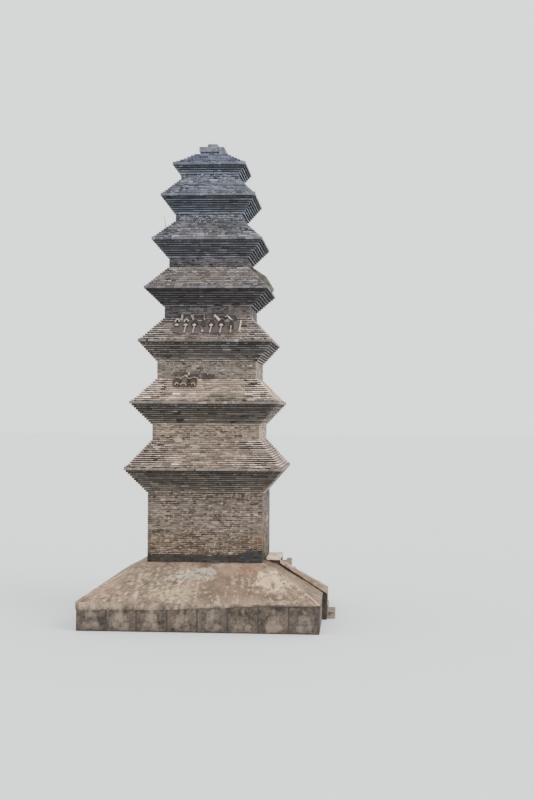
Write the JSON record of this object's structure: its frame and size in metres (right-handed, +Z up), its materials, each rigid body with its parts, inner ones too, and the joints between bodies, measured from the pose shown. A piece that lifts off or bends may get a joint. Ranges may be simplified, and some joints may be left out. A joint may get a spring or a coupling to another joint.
{
  "type": "brick pagoda",
  "caption": "Tall square brick pagoda with stepped corbelled eaves, broken roof tiles and a stone cap, on a granite podium with a cement apron, a stair and a niche.",
  "frame": {"origin": "middle of the podium's underside, on the ground", "axes": "+Z up; -Y towards the front face with the tile remnants; +X towards the face with the stair and the niche"},
  "size_m": [8.475, 8.05, 16.8],
  "materials": {
    "brown_brick": "matte",
    "dark_brick": "matte",
    "slate_brick": "matte",
    "slate_dark_brick": "matte",
    "cement": "matte",
    "rubble_core": "matte",
    "facing_granite": "matte",
    "stair_granite": "matte",
    "finial_granite": "matte",
    "roof_tile": "matte",
    "rusty_iron": "matte"
  },
  "bodies": {
    "root": {"podium_core": "rubble_core", "podium_facing_front": "facing_granite", "podium_facing_back": "facing_granite", "podium_facing_left": "facing_granite", "podium_facing_right_near": "facing_granite", "podium_facing_right_far": "facing_granite", "cement_apron": "cement", "stair_step_1": "stair_granite", "stair_step_2": "stair_granite", "stair_step_3": "stair_granite", "stair_step_4": "stair_granite", "stair_step_5": "stair_granite", "stair_step_6": "stair_granite", "stair_step_7": "stair_granite", "stair_step_8": "stair_granite", "landing_slab": "stair_granite", "stair_cheek_near": "stair_granite", "stair_cheek_far": "stair_granite", "stair_coping_near": "stair_granite", "stair_coping_far": "stair_granite", "niche_sill": "stair_granite", "niche_jamb_near": "stair_granite", "niche_jamb_far": "stair_granite", "niche_lintel": "stair_granite", "storey_1_walls": "brown_brick", "storey_1_corbels": "dark_brick", "storey_1_roof": "brown_brick", "storey_2_walls": "brown_brick", "storey_2_corbels": "dark_brick", "storey_2_roof": "brown_brick", "storey_3_walls": "brown_brick", "storey_3_corbels": "dark_brick", "storey_3_roof": "brown_brick", "storey_4_walls": "brown_brick", "storey_4_corbels": "dark_brick", "storey_4_roof": "brown_brick", "storey_5_walls": "slate_brick", "storey_5_corbels": "slate_dark_brick", "storey_5_roof": "slate_brick", "storey_6_walls": "slate_brick", "storey_6_corbels": "slate_dark_brick", "storey_6_roof": "slate_brick", "storey_7_walls": "slate_brick", "storey_7_corbels": "slate_dark_brick", "storey_7_roof": "slate_brick", "tile_remnants_roof_4": "roof_tile", "tile_remnants_roof_3": "roof_tile", "tile_remnants_roof_2": "roof_tile", "tile_fragment_roof_2": "roof_tile", "finial_base_left": "finial_granite", "finial_base_right": "finial_granite", "finial_cap": "finial_granite", "iron_spike": "rusty_iron"}
  },
  "joints": []
}
